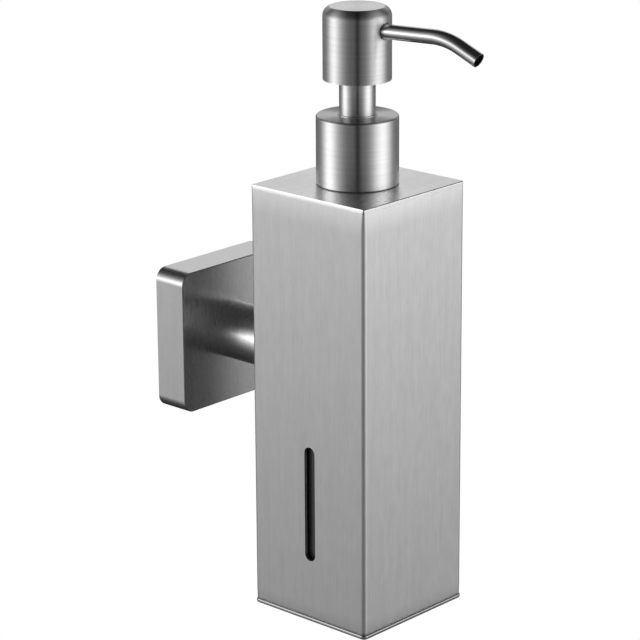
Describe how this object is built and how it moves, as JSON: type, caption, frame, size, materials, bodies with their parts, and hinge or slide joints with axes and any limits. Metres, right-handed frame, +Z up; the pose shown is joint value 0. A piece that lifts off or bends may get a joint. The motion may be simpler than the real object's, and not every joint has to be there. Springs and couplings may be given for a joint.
{
  "type": "wall mounted soap dispenser",
  "caption": "Square brushed-steel soap dispenser on a wall flange: round arm, lift-out bottle pump with a bent spout, and a narrow sight slot in its side.",
  "frame": {"origin": "centre of the wall plate's back face, on the wall and on the arm's axis", "axes": "+Z up, +Y into the wall, so the dispenser stands out towards -Y; +X to the right when facing the wall"},
  "size_m": [0.0504, 0.1186, 0.2071],
  "materials": {
    "brushed_steel": "straight vertical brushing",
    "turned_steel": "fine turned brushing",
    "spout_steel": "polished along its length",
    "bottle_plastic": "smoke-tinted, moulded",
    "pump_plastic": "moulded white",
    "tube_plastic": "drawn, milky",
    "seal_plastic": "soft moulded",
    "seal_rubber": "matt",
    "spring_steel": "drawn wire",
    "fastener_steel": "bright zinc",
    "plate_steel": "pressed and zinc plated"
  },
  "bodies": {
    "housing": {"body_tube": "brushed_steel", "top_plate": "brushed_steel", "bottom_plate": "brushed_steel", "bottle": "bottle_plastic", "arm": "turned_steel", "arm_screw": "fastener_steel", "arm_washer": "fastener_steel", "body_screw": "fastener_steel", "body_washer": "fastener_steel", "flange_cover": "brushed_steel", "wall_plate": "plate_steel", "flange_set_screw": "fastener_steel"},
    "pump": {"pump_cylinder": "pump_plastic", "guide_bush": "pump_plastic", "gasket": "seal_rubber", "pump_spring": "spring_steel", "dip_tube": "tube_plastic"},
    "collar": {"collar_shell": "turned_steel", "collar_insert": "pump_plastic"},
    "plunger": {"piston": "seal_plastic"},
    "head": {"head_shell": "turned_steel", "head_core": "pump_plastic", "spout": "spout_steel", "stem_sleeve": "turned_steel", "piston_rod": "pump_plastic"},
    "valve": {"valve_ball": "fastener_steel"}
  },
  "joints": [
    {"name": "pump_lift", "type": "slide", "parent": "housing", "child": "pump", "axis": [0, 0, 1], "range_m": [0, 0.165]},
    {"name": "collar_turn", "type": "hinge", "parent": "pump", "child": "collar", "pos_m": [0, -0.0704, 0.0727], "axis": [0, 0, 1], "continuous": true},
    {"name": "head_press", "type": "slide", "parent": "pump", "child": "plunger", "axis": [0, 0, -1], "range_m": [0, 0.0115], "stiffness_N_per_m": 1000, "springref_m": -0.006, "deforming": ["pump_spring"]},
    {"name": "head_turn", "type": "hinge", "parent": "plunger", "child": "head", "pos_m": [0, -0.0704, 0.1127], "axis": [0, 0, 1], "continuous": true},
    {"name": "ball_lift", "type": "slide", "parent": "pump", "child": "valve", "axis": [0, 0, 1], "range_m": [0, 0.0015]}
  ]
}
